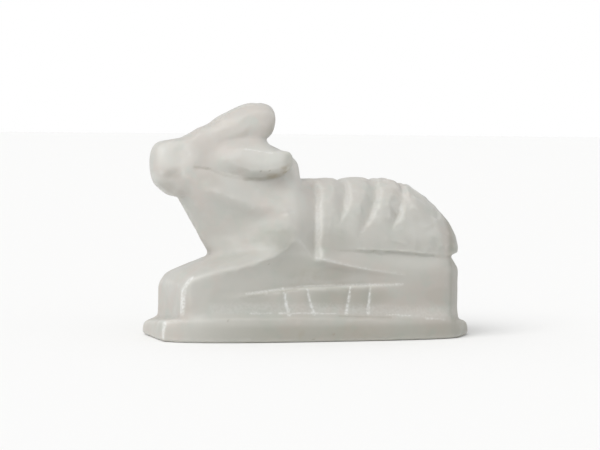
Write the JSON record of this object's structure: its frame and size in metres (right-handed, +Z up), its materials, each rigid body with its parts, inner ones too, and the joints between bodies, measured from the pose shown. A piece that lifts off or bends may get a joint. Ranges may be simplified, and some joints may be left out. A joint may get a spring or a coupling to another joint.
{
  "type": "nandi bull figure",
  "caption": "Small recumbent bull carved from one block of white stone, head raised, with ribbed flanks, on an integral boat-shaped plinth.",
  "frame": {"origin": "centre of the bounding box at the plinth's underside", "axes": "+X towards the bull's tail, -X where it faces, +Z up; its left flank looks towards -Y"},
  "size_m": [0.075, 0.032, 0.0532],
  "materials": {
    "white_stone": "hand finished, faintly translucent, satin"
  },
  "bodies": {
    "root": {"nandi_bull": "white_stone"}
  },
  "joints": []
}
